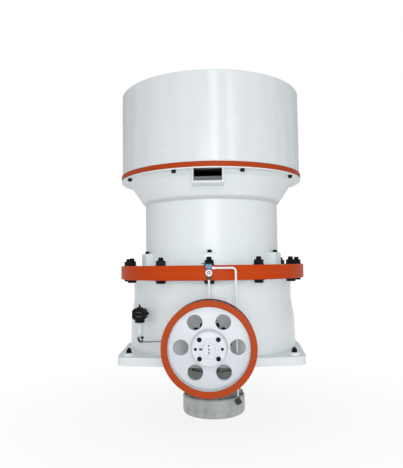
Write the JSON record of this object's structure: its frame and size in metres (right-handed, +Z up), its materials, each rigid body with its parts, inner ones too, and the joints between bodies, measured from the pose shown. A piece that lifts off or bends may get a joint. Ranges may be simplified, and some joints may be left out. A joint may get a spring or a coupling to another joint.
{
  "type": "cone crusher",
  "caption": "Single-cylinder hydraulic cone crusher with a round feed hopper, orange main flange, V-belt sheave on its countershaft and a hydraulic cylinder under the foot plate.",
  "frame": {"origin": "crusher axis at the underside of the foot plate, where it is bolted down", "axes": "+Z up along the crusher's axis, the countershaft and sheave point along -Y"},
  "size_m": [1.5998, 1.8384, 2.759],
  "materials": {
    "casting_paint": "glossy pale bluish grey paint on castings",
    "plate_paint": "glossy pale bluish grey paint on rolled plate",
    "flange_paint": "glossy orange red paint on turned rings",
    "sheave_paint": "orange red paint on the rim's face, bare dark grooves",
    "web_paint": "pale bluish grey paint",
    "cylinder_paint": "mid grey paint",
    "liner_steel": "cast wear steel, dark and slightly rough",
    "machined_steel": "turned steel with a film of oil",
    "cock_paint": "blue paint on a small brass cock",
    "black_fitting": "black painted fittings",
    "gauge_case": "pale bezel round a plain dial",
    "pipe_paint": "pale paint on steel pipe",
    "pipe_steel": "drawn steel tube",
    "bowl_plastic": "milky plastic filter bowl"
  },
  "bodies": {
    "frame": {"foot_plate": "casting_paint", "bottom_shell": "casting_paint", "shell_liner": "liner_steel", "bottom_hub": "casting_paint", "lower_flange": "flange_paint", "upper_flange": "flange_paint", "top_shell": "casting_paint", "clamp_lugs": "casting_paint", "hopper_ring": "flange_paint", "feed_hopper": "plate_paint", "spider": "casting_paint", "spider_cap": "casting_paint", "arm_shields": "liner_steel", "concave": "liner_steel", "mantle": "liner_steel", "crusher_head": "machined_steel", "head_nut": "liner_steel", "main_shaft": "machined_steel", "dust_collar": "machined_steel", "eccentric_sleeve": "machined_steel", "cylinder_neck": "cylinder_paint", "cylinder_drum": "cylinder_paint", "cylinder_cover": "cylinder_paint", "neck_ribs": "cylinder_paint", "countershaft_housing": "casting_paint", "hub_arms": "casting_paint", "arm_liners": "liner_steel", "end_cover": "web_paint", "gauge_cock": "cock_paint", "cock_lever": "black_fitting", "pressure_gauge": "gauge_case", "feed_pipe": "pipe_paint", "return_pipe": "pipe_paint", "air_unit": "black_fitting", "air_bowl": "bowl_plastic", "unit_bracket": "casting_paint", "air_pipe": "pipe_steel", "drain_cock": "black_fitting", "drain_pipe": "pipe_paint"},
    "sheave": {"sheave_rim": "sheave_paint", "sheave_web": "web_paint", "taper_bush": "web_paint", "countershaft": "machined_steel"}
  },
  "joints": [
    {"name": "sheave_spin", "type": "hinge", "parent": "frame", "child": "sheave", "pos_m": [0, -1, 0.183], "axis": [0, 1, 0], "continuous": true}
  ]
}
